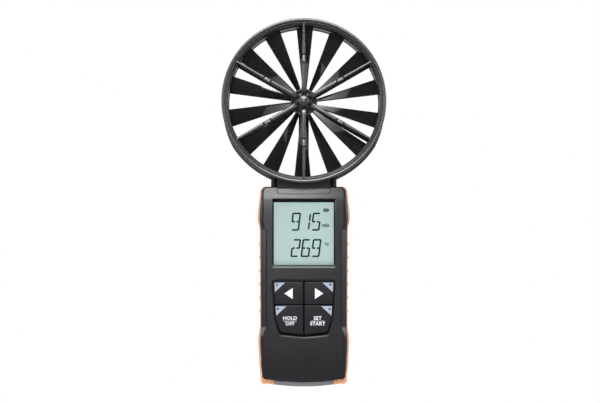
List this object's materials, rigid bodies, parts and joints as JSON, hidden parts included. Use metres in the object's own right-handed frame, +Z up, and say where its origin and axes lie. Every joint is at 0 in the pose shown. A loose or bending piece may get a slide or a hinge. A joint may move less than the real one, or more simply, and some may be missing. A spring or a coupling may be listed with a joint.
{
  "type": "handheld weather meter",
  "caption": "Handheld vane weather meter: a guarded impeller ring on a slim grip with a display window, sprung keys and a sliding battery door.",
  "frame": {"origin": "middle of the hand grip, at the centre of the rib row and of the handle's thickness", "axes": "+Z up along the handle to the vane ring, front face to -Y, +X to the viewer's right"},
  "size_m": [0.105, 0.036, 0.2368],
  "materials": {
    "dark_plastic": "fine matt moulded ABS",
    "vane_plastic": "semi-gloss moulded ABS",
    "impeller_plastic": "gloss black moulded",
    "grip_rubber": "matt soft moulded grip",
    "door_plastic": "matt moulded ABS",
    "key_plastic": "matt printed keys",
    "lens": "clear window",
    "display": "satin polariser",
    "black_plastic": "matt",
    "white_plastic": "satin",
    "seal_rubber": "matt",
    "board": "solder resist",
    "steel": "plain",
    "bronze": "sintered",
    "cell_jacket": "printed sleeve"
  },
  "bodies": {
    "meter": {"vane_ring": "vane_plastic", "front_guard": "vane_plastic", "rear_guard": "vane_plastic", "nose_cap": "vane_plastic", "rear_cap": "vane_plastic", "front_bearing": "bronze", "rear_bearing": "bronze", "speed_sensor": "black_plastic", "sensor_cable": "seal_rubber", "vane_neck": "vane_plastic", "neck_screws": "steel", "neck_seal": "seal_rubber", "front_shell": "dark_plastic", "rear_shell": "dark_plastic", "left_grip": "grip_rubber", "right_grip": "grip_rubber", "display_lens": "lens", "display_frame": "black_plastic", "display_panel": "display", "backlight_panel": "white_plastic", "contact_strips": "seal_rubber", "circuit_board": "board", "board_chips": "black_plastic", "radio_module": "steel", "cable_socket": "white_plastic", "dome_switches": "steel", "batteries": "cell_jacket", "battery_contacts": "steel", "housing_screws": "steel", "board_screws": "steel"},
    "impeller": {"impeller": "impeller_plastic", "axle": "steel", "hub_magnets": "steel"},
    "left_key": {"left_key": "key_plastic"},
    "right_key": {"right_key": "key_plastic"},
    "back_key": {"back_key": "key_plastic"},
    "enter_key": {"enter_key": "key_plastic"},
    "battery_door": {"battery_door": "door_plastic"}
  },
  "joints": [
    {"name": "vane_spin", "type": "hinge", "parent": "meter", "child": "impeller", "pos_m": [0, 0, 0.1135], "axis": [0, 1, 0], "continuous": true},
    {"name": "left_key_press", "type": "slide", "parent": "meter", "child": "left_key", "axis": [0, 1, 0], "range_m": [0, 0.0008], "stiffness_N_per_m": 1200},
    {"name": "right_key_press", "type": "slide", "parent": "meter", "child": "right_key", "axis": [0, 1, 0], "range_m": [0, 0.0008], "stiffness_N_per_m": 1200},
    {"name": "back_key_press", "type": "slide", "parent": "meter", "child": "back_key", "axis": [0, 1, 0], "range_m": [0, 0.0008], "stiffness_N_per_m": 1200},
    {"name": "enter_key_press", "type": "slide", "parent": "meter", "child": "enter_key", "axis": [0, 1, 0], "range_m": [0, 0.0008], "stiffness_N_per_m": 1200},
    {"name": "door_slide", "type": "slide", "parent": "meter", "child": "battery_door", "axis": [0, 0, -1], "range_m": [0, 0.055]}
  ]
}
